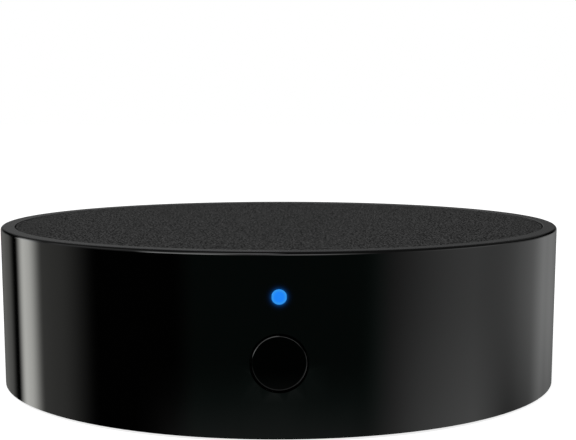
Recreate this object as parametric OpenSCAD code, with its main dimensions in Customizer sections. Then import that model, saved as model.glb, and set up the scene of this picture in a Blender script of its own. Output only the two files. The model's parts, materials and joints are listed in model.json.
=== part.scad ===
// Low round puck that sends infrared light through its gloss black wall. Sizes are in millimetres.
// The origin is at the bottom centre of the foot ring and +Z is up. The button and the status
// light face -Y, and the power socket faces +Y.

/* [Case] */
// Outside diameter just under the rim
body_d = 66; // [62:0.5:78]
// Height of the side wall, from its lower edge to the rim
wall_h = 18.25; // [16.5:0.25:26]
// How much smaller the radius is at the wall's lower edge
wall_draft = 0.28; // [0:0.02:0.8]
// Thickness of the side wall at its lower edge
wall_t = 1.8; // [1.4:0.1:2.4]
// Radius of the round along the rim's outer edge
rim_round = 0.35; // [0.2:0.05:0.6]
// Radius of the round along the rim's inner edge
rim_edge_round = 0.1; // [0.05:0.05:0.4]
// Width of the rim that frames the top panel
rim_w = 1.6; // [1.2:0.1:2.4]
// Thickness of the deck under the top panel
deck_t = 1.5; // [1:0.1:2]

/* [Top panel] */
// Thickness of the top panel
panel_t = 0.8; // [0.5:0.1:1.2]
// How far the top panel lies below the rim
panel_recess = 0.1; // [0.06:0.02:0.4]
// Width of the dark line between the top panel and the rim
panel_gap = 0.12; // [0.06:0.02:0.3]
// Thickness of the adhesive under the top panel
panel_tape_t = 0.1; // [0.05:0.05:0.3]
// How far the adhesive stops short of the top panel's edge
panel_tape_inset = 1; // [0.5:0.25:3]

/* [Base cover] */
// Thickness of the base cover
base_t = 1.8; // [1.5:0.1:2.4]
// Gap between the base cover and the wall
base_gap = 0.15; // [0.1:0.05:0.3]
// Height of the lip on the base cover
lip_h = 1; // [0.5:0.1:1.1]
// Thickness of the lip on the base cover
lip_t = 1.2; // [0.8:0.1:1.6]

/* [Foot ring] */
// Width of the rubber foot ring
foot_w = 8; // [7:0.5:9]
// Distance from the base cover's edge to the foot ring
foot_inset = 3.8; // [2.5:0.1:5]
// Thickness of the rubber foot ring
foot_t = 0.8; // [0.6:0.05:1]
// How far the foot ring stands below the wall's lower edge
foot_proud = 0.25; // [0.15:0.05:0.5]
// Thickness of the adhesive above the foot ring
foot_tape_t = 0.1; // [0.05:0.05:0.2]
// Gap beside the foot ring in its recess
foot_gap = 0.1; // [0.05:0.05:0.3]

/* [Screws] */
// Thread diameter of the screws
screw_d = 2; // [1.6:0.1:2.2]
// Diameter of the screw heads
screw_head_d = 3.8; // [3.2:0.1:4.2]
// Height of the screw heads
screw_head_h = 1.2; // [1:0.1:1.3]
// Length of the case screws below the head
case_screw_l = 8; // [5:0.5:10]
// Length of the board screws below the head
board_screw_l = 3.4; // [3:0.1:3.6]
// Diameter of the screw bosses and of the collars that they stand on
boss_d = 6; // [5:0.25:6.5]
// Diameter of the posts under the circuit board
post_d = 5; // [4:0.25:6]
// Thickness of the collar's floor between a screw head and the boss
collar_floor_t = 1.1; // [0.8:0.1:1.5]
// Angle from the left and right sides to the nearest boss
boss_angle = 22.5; // [20:0.5:25]

/* [Circuit board] */
// Thickness of the circuit board
board_t = 1.6; // [1:0.1:2]
// Gap between the base cover and the circuit board
board_rise = 1.55; // [1.45:0.05:3]
// Gap between the circuit board's edge and the wall
board_margin = 2.6; // [2:0.1:3.5]
// Least gap between the parts that stand side by side on the circuit board
part_gap = 0.8; // [0.5:0.1:1]

/* [Button] */
// Diameter of the button's face
button_d = 5.5; // [4:0.1:6.5]
// Gap round the button in its hole
button_gap = 0.15; // [0.08:0.01:0.2]
// How far the button travels
button_travel = 0.25; // [0.15:0.05:0.4]
// Radius of the round along the button's edge
button_round = 0.2; // [0.1:0.05:0.4]
// How far the button's flange reaches beyond its face
button_flange_w = 0.8; // [0.6:0.1:1.1]
// Thickness of the button's flange
button_flange_t = 0.8; // [0.5:0.1:1.2]
// Diameter of the stem behind the flange
button_stem_d = 3; // [2:0.1:4]
// Play in front of the flange and behind the stem
button_play = 0.05; // [0.02:0.01:0.1]

/* [Switch] */
// Width of the switch
switch_w = 6; // [5:0.25:7]
// Height of the switch
switch_h = 4.3; // [4:0.1:5]
// Depth of the switch, with its cover
switch_depth = 3.6; // [3:0.1:4.5]
// Height of the plunger's axis above the circuit board
switch_axis_h = 2.5; // [2.2:0.1:2.6]
// Distance from the circuit board's edge to the switch
switch_edge = 1; // [0.5:0.1:2]
// Thickness of the switch's steel cover
switch_cover_t = 0.3; // [0.2:0.05:0.4]
// Diameter of the plunger
plunger_d = 2.6; // [1.8:0.1:2.8]
// How far the plunger stands out of the switch
plunger_reach = 1.2; // [0.8:0.1:1.6]

/* [Status light] */
// Diameter of the light in the wall
light_d = 1.42; // [1:0.02:2]
// Distance from the rim down to the light's centre
light_drop = 4.35; // [4.2:0.05:5]
// Width of the light guide
guide_w = 2.2; // [2:0.1:2.4]

/* [Infrared emitters] */
// Diameter of an emitter's lens
emitter_d = 3; // [2.5:0.1:3.4]
// Length of an emitter
emitter_l = 5.4; // [4.5:0.1:6]
// Diameter of an emitter's flange
emitter_flange_d = 3.8; // [3.4:0.1:4.2]
// Height of the emitters' axes above the circuit board
emitter_axis_h = 2.5; // [2.2:0.1:4]
// Angle between neighbouring emitters on one side
emitter_step = 45; // [42:1:48]

/* [Power socket] */
// Width of the socket's steel shell
socket_w = 7.5; // [7.4:0.1:8]
// Height of the socket's steel shell
socket_h = 2.9; // [2.7:0.1:3.2]
// Depth of the socket
socket_depth = 5.6; // [5:0.1:6]
// How far the socket stands out past the circuit board's edge
socket_reach = 1.3; // [0.5:0.1:1.8]
// Width of the opening in the wall
port_w = 11.6; // [10:0.1:12.5]
// Height of the opening in the wall
port_h = 6.8; // [6:0.1:7]
// Corner radius of the opening in the wall
port_round = 1.5; // [0.5:0.1:2.5]

/* [Wireless module] */
// Length of the wireless module, left to right
module_l = 18; // [16:0.5:20]
// Width of the wireless module, front to back
module_w = 15; // [13:0.5:15.5]
// Thickness of the wireless module's board
module_t = 0.8; // [0.6:0.1:1]
// How far the module's centre lies behind the case's centre
module_shift = 2.5; // [1.5:0.25:3]

/* [Hidden] */
$fn = 96;
// Overrun of every cut
cut = 0.1;

// Screw clearances and recess
thread_gap = 0.03;
head_gap = 0.2;
hole_gap = 0.1;
screw_tip_gap = 0.3;
recess_w = 0.5;
recess_l = 2;
recess_deep = 0.6;
head_round_share = 0.5;

// Circuit board clearances
boss_clearance = 0.5;
lead_clearance = 0.1;

// How far the button's seat stands in from the wall beside it
seat_proud = 0.2;
// Gap kept clear round the button's flange over its whole travel
flange_clearance = 0.15;

// Pieces inside the switch
plunger_gap = 0.06;
plunger_flange_w = 0.5;
plunger_flange_t = 0.6;
pocket_gap = 0.3;
dome_d = 4;
dome_flat_rise = 0.2;
dome_t = 0.08;
dome_gap = 0.02;
arm_h = 1.6;
terminal_x_share = 0.33;
terminal_w = 0.8;
terminal_h = 2;

// Gull-wing legs of the parts on the circuit board
leg_t = 0.15;
terminal_foot = 0.9;

// Status light source and light guide
led_l = 2;
led_w = 1.25;
led_h = 0.8;
led_lens_share = 0.7;
led_air = 0.2;
guide_leg_d = 1.9;
guide_sleeve_t = 1;
guide_sleeve_l = 2.4;
guide_gap = 0.03;

// Emitters and their leads
emitter_count = 7;
side_emitter_count = 6;
emitters_per_side = 3;
emitter_flange_t = 1;
emitter_edge = 0.3;
emitter_stand = 1;
lead_w = 0.45;
lead_pitch = 2.54;
lead_diagonal = norm([lead_w, lead_w]);
lead_run = 1.3;
lead_tail = 1;

// Infrared receiver
receiver_w = 6;
receiver_depth = 2.6;
receiver_h = 6;
receiver_stand = 0.6;
receiver_lens_d = 4.2;

// Power socket's inner pieces
socket_shell_t = 0.3;
socket_slope = 1.1;
socket_back = 1.5;
insulator_proud = 0.2;
socket_fit = 0.05;
tongue_w = 3.7;
tongue_t = 0.6;
tongue_drop = 0.35;
tongue_short = 0.7;
contact_count = 5;
contact_pitch = 0.65;
contact_w = 0.4;
contact_t = 0.1;
contact_foot = 0.7;
socket_foot_w = 1.2;
socket_foot_l = 1;

// Wireless module's pieces
shield_l = 12;
shield_w = 13;
shield_h = 2.2;
shield_t = 0.2;
shield_edge = 0.8;
radio_chip_w = 5;
radio_chip_h = 0.85;
crystal_l = 3.2;
crystal_w = 2.5;
crystal_h = 0.7;
antenna_t = 0.05;
antenna_line = 0.5;
antenna_edge = 0.6;
antenna_turns = 6;

// Voltage regulator
regulator_l = 6.5;
regulator_w = 3.5;
regulator_h = 1.6;
regulator_leg_w = 0.7;
regulator_leg_pitch = 2.3;
regulator_tab_w = 3;
regulator_foot = 1.5;
regulator_leg_t = 0.25;

// Bulk capacitor
can_d = 6.3;
can_h = 5.1;
can_round = 0.5;
can_groove = 0.25;
can_base_w = 6.6;
can_base_h = 0.7;
can_base_corner = 1.2;

// Driver transistors
transistor_l = 2.9;
transistor_w = 1.3;
transistor_h = 1;
transistor_leg_w = 0.4;
transistor_leg_pitch = 1.9;
transistor_foot = 0.4;

// Protection diode
diode_l = 2.7;
diode_w = 1.6;
diode_h = 1.15;
diode_leg_w = 0.6;
diode_foot = 0.35;

// Chip resistors and capacitors
chip_l = 2;
chip_w = 1.25;
chip_h = 0.55;
chip_capacitor_h = 1;
chip_end = 0.35;
chip_end_t = 0.03;
chip_pitch = 2.4;
chip_capacitor_pitch = 2.1;

// Heights, from the surface that the foot ring stands on
rim_z = foot_proud + wall_h;
panel_z = rim_z - panel_recess - panel_t;
deck_top_z = panel_z - panel_tape_t;
deck_z = deck_top_z - deck_t;
foot_top_z = foot_t + foot_tape_t;
base_top_z = foot_proud + base_t;
board_z = base_top_z + board_rise;
board_top_z = board_z + board_t;
collar_head_z = foot_top_z + head_gap + screw_head_h;
boss_z = collar_head_z + collar_floor_t;
button_z = board_top_z + switch_axis_h;
light_z = rim_z - light_drop;
emitter_z = board_top_z + emitter_axis_h;
lead_tail_z = board_z - lead_tail;

// Radii from the centre
body_r = body_d / 2;
foot_edge_r = body_r - wall_draft;
inner_r = foot_edge_r - wall_t;
panel_hole_r = body_r - rim_w;
panel_r = panel_hole_r - panel_gap;
base_r = inner_r - base_gap;
foot_outer_r = base_r - foot_inset;
foot_inner_r = foot_outer_r - foot_w;
screw_circle_r = foot_outer_r - foot_w / 2;
board_r = inner_r - board_margin;
emitter_back_r = board_r - emitter_edge - emitter_l;

// Rise of the snap dome at rest, which leaves room for the button's whole travel
dome_rise = button_travel + dome_flat_rise;

// Places along the button's axis, counted forward from the centre
button_sleeve_r = button_d / 2 + button_gap + button_flange_w;
button_seat = sqrt(pow(inner_r, 2) - pow(button_sleeve_r, 2)) - seat_proud;
button_face = wall_reach(button_z, button_d / 2);
button_back = button_seat - button_play - button_flange_t;
switch_face = board_r - switch_edge;
switch_back = switch_face - switch_depth;
housing_face = switch_face - switch_cover_t;
plunger_tip = switch_face + plunger_reach;
plunger_flange_back = housing_face - button_play - plunger_flange_t;
dome_seat = plunger_flange_back - dome_gap - dome_rise;
led_place = switch_back - terminal_foot - part_gap - guide_w / 2;

// Places on the circuit board
module_front = module_shift - module_w / 2;
module_rear = module_shift + module_w / 2;
module_left = -module_l / 2;
shield_x = module_l / 2 - shield_edge - shield_l / 2;
top_emitter_y = module_front - part_gap - emitter_flange_d / 2;
receiver_x = -emitter_flange_d / 2 - part_gap - receiver_w / 2;
receiver_y = module_front - part_gap - receiver_depth;
capacitor_x = emitter_flange_d / 2 + part_gap + can_base_w / 2;
capacitor_y = module_front - part_gap - can_base_w / 2;
column_x = module_l / 2 + part_gap + transistor_w / 2 + transistor_foot + leg_t;
rear_group_w = regulator_l + part_gap + chip_l;
regulator_x = (regulator_l - rear_group_w) / 2;
regulator_y = module_rear + part_gap + regulator_foot + regulator_leg_t + regulator_w / 2;
chip_column_x = (rear_group_w - chip_l) / 2;
chip_row_y = module_rear + part_gap + chip_w / 2;
diode_x = rear_group_w / 2 + part_gap + diode_foot + leg_t + diode_l / 2;
diode_y = module_rear + part_gap / 2 + diode_w / 2;
socket_mouth = board_r + socket_reach;
socket_rear = socket_mouth - socket_depth;
insulator_rear = socket_rear - insulator_proud;
socket_z = board_top_z + socket_h / 2;
tongue_z = board_top_z + socket_h - socket_shell_t - tongue_drop - tongue_t;

// Angles of the screws: bosses beside the left and right emitters, posts beside the button and socket
boss_angles = [boss_angle, 180 - boss_angle, 180 + boss_angle, 360 - boss_angle];
post_angles = [90 - boss_angle, 90 + boss_angle, 270 - boss_angle, 270 + boss_angle];

// Outer radius of the wall at a height
function wall_r(z) = body_r - wall_draft * (rim_z - z) / wall_h;

// How far forward the wall's outer face lies at a height, a given distance off the centre plane
function wall_reach(z, off) = sqrt(pow(wall_r(z), 2) - pow(off, 2));

// Points of an arc
function arc(centre, r, from, to, steps) = [
    for (i = [0 : steps]) let (a = from + (to - from) * i / steps) centre + r * [cos(a), sin(a)]
];

// Angle of a side emitter, counted from +X
function emitter_angle(i) =
    (i > emitters_per_side ? 180 : 0) + ((i - 1) % emitters_per_side - 1) * emitter_step;

// Turns +Z towards the front, so that a height becomes a distance forward
module facing_front(z) {
    translate([0, 0, z]) rotate([90, 0, 0]) children();
}

module ring(outer, inner, z, h) {
    translate([0, 0, z]) difference() {
        cylinder(h = h, r = outer);
        translate([0, 0, -cut]) cylinder(h = h + 2 * cut, r = inner);
    }
}

module on_circle(angles, r) {
    for (a = angles) rotate([0, 0, a]) translate([r, 0, 0]) children();
}

// Block centred in X and Y that stands on z
module block(l, w, h, z = 0) {
    translate([-l / 2, -w / 2, z]) cube([l, w, h]);
}

// Leg that stands against a side face at y = 0 and runs out along +Y on the board
module leg(w, foot, rise, t) {
    translate([-w / 2, 0, 0]) cube([w, t, rise]);
    translate([-w / 2, 0, 0]) cube([w, foot + t, t]);
}

// Pan-head screw that points down from z = 0, with a cross recess in its head
module screw(l) {
    head_round = screw_head_h * head_round_share;
    difference() {
        union() {
            rotate_extrude() polygon(concat(
                [[0, 0], [screw_head_d / 2, 0]],
                arc([screw_head_d / 2 - head_round, screw_head_h - head_round], head_round, 0, 90, 5),
                [[0, screw_head_h]]
            ));
            translate([0, 0, -l]) cylinder(h = l + cut, d = screw_d);
        }
        for (turn = [0, 90]) rotate([0, 0, turn])
            block(recess_l, recess_w, recess_deep + cut, screw_head_h - recess_deep);
    }
}

// Opening with round corners, cut along +Y
module port_cut(from, to) {
    straight_w = port_w - 2 * port_round;
    straight_h = port_h - 2 * port_round;
    translate([0, to, socket_z]) rotate([90, 0, 0]) {
        block(straight_w, port_h, to - from);
        block(port_w, straight_h, to - from);
        for (x = [-1, 1], y = [-1, 1])
            translate([x * straight_w / 2, y * straight_h / 2, 0]) cylinder(h = to - from, r = port_round);
    }
}

module upper_shell() {
    color([0.02, 0.02, 0.022]) difference() {
        union() {
            difference() {
                rotate_extrude() polygon(concat(
                    [[0, foot_proud], [foot_edge_r, foot_proud]],
                    arc([wall_r(rim_z - rim_round) - rim_round, rim_z - rim_round], rim_round, 0, 90, 6),
                    [[0, rim_z]]
                ));
                translate([0, 0, -cut]) cylinder(h = deck_z + cut, r = inner_r);
            }
            on_circle(boss_angles, screw_circle_r) translate([0, 0, boss_z])
                cylinder(h = deck_z + deck_t / 2 - boss_z, d = boss_d);
            facing_front(button_z) translate([0, 0, button_seat])
                cylinder(h = inner_r + wall_t / 2 - button_seat, r = button_sleeve_r);
            facing_front(light_z) translate([0, 0, inner_r - guide_sleeve_l])
                cylinder(h = guide_sleeve_l + wall_t / 2, d = guide_leg_d + 2 * guide_sleeve_t);
        }
        rotate_extrude() polygon(concat(
            [[0, deck_top_z], [panel_hole_r, deck_top_z]],
            arc([panel_hole_r + rim_edge_round, rim_z - rim_edge_round], rim_edge_round, 180, 90, 5),
            [[panel_hole_r + rim_edge_round, rim_z + cut], [0, rim_z + cut]]
        ));
        on_circle(boss_angles, screw_circle_r) translate([0, 0, boss_z - cut])
            cylinder(h = cut + case_screw_l - collar_floor_t + screw_tip_gap, d = screw_d + 2 * thread_gap);
        facing_front(button_z) {
            translate([0, 0, button_seat - cut]) cylinder(h = body_r, d = button_d + 2 * button_gap);
            cylinder(h = button_seat, r = button_d / 2 + button_flange_w + flange_clearance);
        }
        facing_front(light_z) {
            translate([0, 0, inner_r - guide_sleeve_l - cut])
                cylinder(h = guide_sleeve_l + cut, d = guide_leg_d + 2 * guide_gap);
            translate([0, 0, inner_r - cut]) cylinder(h = body_r, d = light_d + 2 * guide_gap);
        }
        port_cut(socket_mouth, body_r + cut);
    }
}

module top_panel() {
    color([0.07, 0.07, 0.075]) translate([0, 0, panel_z]) cylinder(h = panel_t, r = panel_r);
}

module panel_tape() {
    color([0.75, 0.74, 0.7]) translate([0, 0, deck_top_z])
        cylinder(h = panel_tape_t, r = panel_r - panel_tape_inset);
}

module base_cover() {
    color([0.04, 0.04, 0.042]) difference() {
        union() {
            translate([0, 0, foot_proud]) cylinder(h = base_t, r = base_r);
            ring(base_r, base_r - lip_t, base_top_z - base_t / 2, base_t / 2 + lip_h);
            on_circle(boss_angles, screw_circle_r) translate([0, 0, base_top_z - base_t / 2])
                cylinder(h = boss_z - base_top_z + base_t / 2, d = boss_d);
            on_circle(post_angles, screw_circle_r) translate([0, 0, base_top_z - base_t / 2])
                cylinder(h = board_rise + base_t / 2, d = post_d);
        }
        ring(foot_outer_r + foot_gap, foot_inner_r - foot_gap, -cut, foot_top_z + cut);
        on_circle(boss_angles, screw_circle_r) {
            translate([0, 0, -cut]) cylinder(h = collar_head_z + cut, d = screw_head_d + 2 * head_gap);
            cylinder(h = boss_z + cut, d = screw_d + 2 * hole_gap);
        }
        on_circle(post_angles, screw_circle_r)
            translate([0, 0, board_top_z - board_screw_l - screw_tip_gap / 2])
                cylinder(h = board_top_z, d = screw_d + 2 * thread_gap);
    }
}

module foot_ring() {
    color([0.1, 0.1, 0.1]) ring(foot_outer_r, foot_inner_r, 0, foot_t);
}

module foot_tape() {
    color([0.75, 0.74, 0.7]) ring(foot_outer_r, foot_inner_r, foot_t, foot_tape_t);
}

module case_screws() {
    color([0.7, 0.7, 0.72]) on_circle(boss_angles, screw_circle_r)
        translate([0, 0, collar_head_z]) mirror([0, 0, 1]) screw(case_screw_l);
}

module board_screws() {
    color([0.7, 0.7, 0.72]) on_circle(post_angles, screw_circle_r)
        translate([0, 0, board_top_z]) screw(board_screw_l);
}

// Two lead holes side by side along Y
module lead_holes() {
    for (side = [-1, 1]) translate([0, side * lead_pitch / 2, 0])
        cylinder(h = board_t + 2 * cut, d = lead_diagonal + 2 * lead_clearance);
}

module main_board() {
    color([0.05, 0.3, 0.14]) translate([0, 0, board_z]) difference() {
        cylinder(h = board_t, r = board_r);
        translate([0, 0, -cut]) {
            on_circle(boss_angles, screw_circle_r)
                cylinder(h = board_t + 2 * cut, d = boss_d + 2 * boss_clearance);
            on_circle(post_angles, screw_circle_r)
                cylinder(h = board_t + 2 * cut, d = screw_d + 2 * hole_gap);
            for (i = [1 : side_emitter_count]) rotate([0, 0, emitter_angle(i)])
                translate([emitter_back_r - lead_run + lead_w / 2, 0, 0]) lead_holes();
            translate([0, top_emitter_y, 0]) rotate([0, 0, 90]) lead_holes();
            for (x = [-1 : 1]) translate([receiver_x + x * lead_pitch, receiver_y + receiver_depth / 2, 0])
                cylinder(h = board_t + 2 * cut, d = lead_diagonal + 2 * lead_clearance);
        }
    }
}

module button_cap() {
    face_r = button_d / 2;
    color([0.01, 0.01, 0.01]) facing_front(button_z) {
        rotate_extrude() polygon(concat(
            [
                [0, plunger_tip + button_play],
                [button_stem_d / 2, plunger_tip + button_play],
                [button_stem_d / 2, button_back],
                [face_r + button_flange_w, button_back],
                [face_r + button_flange_w, button_back + button_flange_t],
                [face_r, button_back + button_flange_t]
            ],
            arc([face_r - button_round, button_face - button_round], button_round, 0, 90, 5),
            [[0, button_face]]
        ));
    }
}

module switch_housing() {
    pocket_r = plunger_d / 2 + plunger_flange_w + pocket_gap;
    color([0.05, 0.05, 0.05]) difference() {
        translate([-switch_w / 2, -housing_face, board_top_z])
            cube([switch_w, switch_depth - switch_cover_t, switch_h]);
        facing_front(button_z) translate([0, 0, dome_seat])
            cylinder(h = switch_depth, r = pocket_r);
    }
}

module switch_cover() {
    arm_z = board_top_z + (switch_h - arm_h) / 2;
    color([0.78, 0.78, 0.8]) {
        difference() {
            translate([-switch_w / 2 - switch_cover_t, -switch_face, board_top_z])
                cube([switch_w + 2 * switch_cover_t, switch_cover_t, switch_h]);
            facing_front(button_z) translate([0, 0, housing_face - cut])
                cylinder(h = switch_cover_t + 2 * cut, d = plunger_d + 2 * plunger_gap);
        }
        for (x = [-switch_w / 2 - switch_cover_t, switch_w / 2])
            translate([x, -switch_face, arm_z]) cube([switch_cover_t, switch_depth, arm_h]);
    }
}

module switch_plunger() {
    color([0.85, 0.83, 0.78]) facing_front(button_z) {
        translate([0, 0, plunger_flange_back]) {
            cylinder(h = plunger_flange_t, r = plunger_d / 2 + plunger_flange_w);
            cylinder(h = plunger_tip - plunger_flange_back, d = plunger_d);
        }
    }
}

module switch_dome() {
    sphere_r = (pow(dome_d / 2, 2) + pow(dome_rise, 2)) / (2 * dome_rise);
    color([0.82, 0.8, 0.74]) facing_front(button_z) translate([0, 0, dome_seat]) intersection() {
        cylinder(h = dome_rise + cut, d = dome_d + cut);
        translate([0, 0, dome_rise - sphere_r]) difference() {
            sphere(r = sphere_r);
            sphere(r = sphere_r - dome_t);
        }
    }
}

module switch_terminals() {
    color([0.8, 0.8, 0.8]) for (side = [-1, 1])
        translate([side * switch_w * terminal_x_share, -switch_back, board_top_z])
            leg(terminal_w, terminal_foot - leg_t, terminal_h, leg_t);
}

module status_led() {
    color([0.1, 0.45, 0.95]) translate([0, -led_place, board_top_z]) {
        block(led_l, led_w, led_h / 2);
        block(led_l * led_lens_share, led_w, led_h);
    }
}

module light_guide() {
    guide_z = board_top_z + led_h + led_air;
    tip = wall_reach(light_z, light_d / 2);
    color([0.75, 0.85, 0.95]) difference() {
        union() {
            translate([0, -led_place, 0]) block(guide_w, guide_w, light_z + guide_w / 2 - guide_z, guide_z);
            facing_front(light_z) {
                translate([0, 0, led_place]) cylinder(h = inner_r - guide_gap - led_place, d = guide_leg_d);
                translate([0, 0, led_place]) cylinder(h = tip - led_place, d = light_d);
            }
        }
        translate([0, -led_place, light_z]) rotate([-45, 0, 0]) translate([-guide_w, -2 * guide_w, 0])
            cube([2 * guide_w, 4 * guide_w, 2 * guide_w]);
    }
}

// Puts a part's optical axis, local +Z, where emitter number i stands
module at_emitter(i) {
    if (i > side_emitter_count)
        translate([0, top_emitter_y, board_top_z + emitter_stand]) children();
    else
        rotate([0, 0, emitter_angle(i)]) translate([emitter_back_r, 0, emitter_z])
            rotate([0, 90, 0]) children();
}

module ir_emitter(i) {
    lens_r = emitter_d / 2;
    color([0.2, 0.2, 0.3]) at_emitter(i) rotate_extrude() polygon(concat(
        [
            [0, 0],
            [emitter_flange_d / 2, 0],
            [emitter_flange_d / 2, emitter_flange_t],
            [lens_r, emitter_flange_t]
        ],
        arc([0, emitter_l - lens_r], lens_r, 0, 90, 8)
    ));
}

module emitter_leads(i) {
    color([0.8, 0.8, 0.8]) for (side = [-1, 1]) {
        if (i > side_emitter_count)
            translate([side * lead_pitch / 2, top_emitter_y, 0])
                block(lead_w, lead_w, board_top_z + emitter_stand - lead_tail_z, lead_tail_z);
        else
            rotate([0, 0, emitter_angle(i)])
                translate([emitter_back_r - lead_run, side * lead_pitch / 2 - lead_w / 2, 0]) {
                    translate([0, 0, emitter_z - lead_w / 2]) cube([lead_run, lead_w, lead_w]);
                    translate([0, 0, lead_tail_z]) cube([lead_w, lead_w, emitter_z - lead_tail_z]);
                }
    }
}

module ir_receiver() {
    receiver_z = board_top_z + receiver_stand;
    color([0.08, 0.07, 0.1]) translate([receiver_x, receiver_y, receiver_z]) {
        translate([-receiver_w / 2, 0, 0]) cube([receiver_w, receiver_depth, receiver_h]);
        intersection() {
            translate([0, 0, receiver_h / 2]) sphere(d = receiver_lens_d);
            translate([-receiver_w / 2, -receiver_lens_d, 0])
                cube([receiver_w, receiver_lens_d + receiver_depth / 2, receiver_h]);
        }
    }
}

module ir_receiver_leads() {
    color([0.8, 0.8, 0.8]) for (x = [-1 : 1])
        translate([receiver_x + x * lead_pitch, receiver_y + receiver_depth / 2, 0])
            block(lead_w, lead_w, board_top_z + receiver_stand - lead_tail_z, lead_tail_z);
}

module wifi_board() {
    color([0.04, 0.12, 0.3]) translate([0, module_shift, 0]) block(module_l, module_w, module_t, board_top_z);
}

// Meandering copper line at the module's left end
module wifi_antenna() {
    pitch = (module_w - 2 * antenna_edge - antenna_line) / antenna_turns;
    reach = module_l - shield_l - shield_edge - 2 * antenna_edge;
    start_y = module_front + antenna_edge;
    color([0.8, 0.62, 0.3]) translate([module_left + antenna_edge, start_y, board_top_z + module_t]) {
        for (i = [0 : antenna_turns]) translate([0, i * pitch, 0]) cube([reach, antenna_line, antenna_t]);
        for (i = [0 : antenna_turns - 1])
            translate([i % 2 == 0 ? 0 : reach - antenna_line, i * pitch, 0])
                cube([antenna_line, pitch + antenna_line, antenna_t]);
    }
}

module wifi_shield() {
    color([0.75, 0.75, 0.77]) translate([shield_x, module_shift, board_top_z + module_t]) difference() {
        block(shield_l, shield_w, shield_h);
        block(shield_l - 2 * shield_t, shield_w - 2 * shield_t, shield_h - shield_t + cut, -cut);
    }
}

module wifi_chip() {
    color([0.06, 0.06, 0.06]) translate([shield_x, module_front + shield_w / 2, board_top_z + module_t])
        block(radio_chip_w, radio_chip_w, radio_chip_h);
}

module wifi_crystal() {
    color([0.8, 0.78, 0.7])
        translate([shield_x, module_rear - (module_w - shield_w) / 2 - shield_t - part_gap - crystal_w / 2,
            board_top_z + module_t])
            block(crystal_l, crystal_w, crystal_h);
}

// Outline of the socket, wide at the top and drawn in towards the board
module socket_outline(w, h, slope) {
    polygon([
        [-w / 2, h], [-w / 2, h / 2], [-w / 2 + slope, 0],
        [w / 2 - slope, 0], [w / 2, h / 2], [w / 2, h]
    ]);
}

// Runs an outline along Y, from one place to another
module along_y(from, to, z) {
    translate([0, to, z]) rotate([90, 0, 0]) linear_extrude(height = to - from) children();
}

module usb_shell() {
    color([0.78, 0.78, 0.8]) {
        difference() {
            along_y(socket_rear, socket_mouth, board_top_z) socket_outline(socket_w, socket_h, socket_slope);
            along_y(socket_rear - cut, socket_mouth + cut, board_top_z + socket_shell_t)
                socket_outline(socket_w - 2 * socket_shell_t, socket_h - 2 * socket_shell_t, socket_slope);
        }
        for (side = [-1, 1])
            translate([side * (socket_w - socket_slope) / 2 - socket_foot_w / 2, socket_rear, board_top_z])
                cube([socket_foot_w, socket_foot_l, socket_shell_t]);
    }
}

module usb_tongue() {
    inner_w = socket_w - 2 * (socket_shell_t + socket_fit);
    inner_h = socket_h - 2 * (socket_shell_t + socket_fit);
    color([0.06, 0.06, 0.06]) {
        along_y(insulator_rear, socket_rear + socket_back, board_top_z + socket_shell_t + socket_fit)
            socket_outline(inner_w, inner_h, socket_slope);
        translate([-tongue_w / 2, socket_rear, tongue_z])
            cube([tongue_w, socket_depth - tongue_short, tongue_t]);
    }
}

module usb_contacts() {
    middle = (contact_count - 1) / 2;
    contact_l = socket_depth - socket_back - 2 * tongue_short;
    color([0.85, 0.68, 0.3]) for (i = [0 : contact_count - 1])
        translate([(i - middle) * contact_pitch, 0, 0]) {
            translate([-contact_w / 2, socket_rear + socket_back, tongue_z - contact_t])
                cube([contact_w, contact_l, contact_t]);
            translate([0, insulator_rear, board_top_z]) mirror([0, 1, 0])
                leg(contact_w, contact_foot, socket_h / 2, contact_t);
        }
}

module regulator() {
    color([0.06, 0.06, 0.06]) translate([regulator_x, regulator_y, 0])
        block(regulator_l, regulator_w, regulator_h, board_top_z);
}

module regulator_leads() {
    color([0.8, 0.8, 0.8]) translate([regulator_x, regulator_y, board_top_z]) {
        translate([0, regulator_w / 2, 0])
            leg(regulator_tab_w, regulator_foot, regulator_h / 2, regulator_leg_t);
        for (x = [-1 : 1]) translate([x * regulator_leg_pitch, -regulator_w / 2, 0]) mirror([0, 1, 0])
            leg(regulator_leg_w, regulator_foot, regulator_h / 2, regulator_leg_t);
    }
}

module capacitor_base() {
    half = can_base_w / 2;
    color([0.08, 0.08, 0.08]) translate([capacitor_x, capacitor_y, board_top_z])
        linear_extrude(height = can_base_h) polygon([
            [-half, -half], [half, -half], [half, half - can_base_corner],
            [half - can_base_corner, half], [-half + can_base_corner, half], [-half, half - can_base_corner]
        ]);
}

module capacitor_can() {
    r = can_d / 2;
    groove_z = can_h / 4;
    color([0.75, 0.75, 0.77]) translate([capacitor_x, capacitor_y, board_top_z + can_base_h])
        rotate_extrude() polygon(concat(
            [
                [0, 0], [r, 0], [r, groove_z - can_groove],
                [r - can_groove, groove_z], [r, groove_z + can_groove]
            ],
            arc([r - can_round, can_h - can_round], can_round, 0, 90, 5),
            [[0, can_h]]
        ));
}

// One driver transistor stands in each column of small parts beside the wireless module
module at_transistors() {
    for (side = [-1, 1]) translate([side * column_x, module_shift, board_top_z])
        rotate([0, 0, side * 90]) children();
}

module driver_transistors() {
    color([0.06, 0.06, 0.06]) at_transistors() block(transistor_l, transistor_w, transistor_h);
}

module transistor_leads() {
    color([0.8, 0.8, 0.8]) at_transistors() {
        translate([0, transistor_w / 2, 0])
            leg(transistor_leg_w, transistor_foot, transistor_h / 2, leg_t);
        for (side = [-1, 1]) translate([side * transistor_leg_pitch / 2, -transistor_w / 2, 0])
            mirror([0, 1, 0]) leg(transistor_leg_w, transistor_foot, transistor_h / 2, leg_t);
    }
}

module protection_diode() {
    color([0.06, 0.06, 0.06]) translate([diode_x, diode_y, board_top_z]) block(diode_l, diode_w, diode_h);
}

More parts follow.
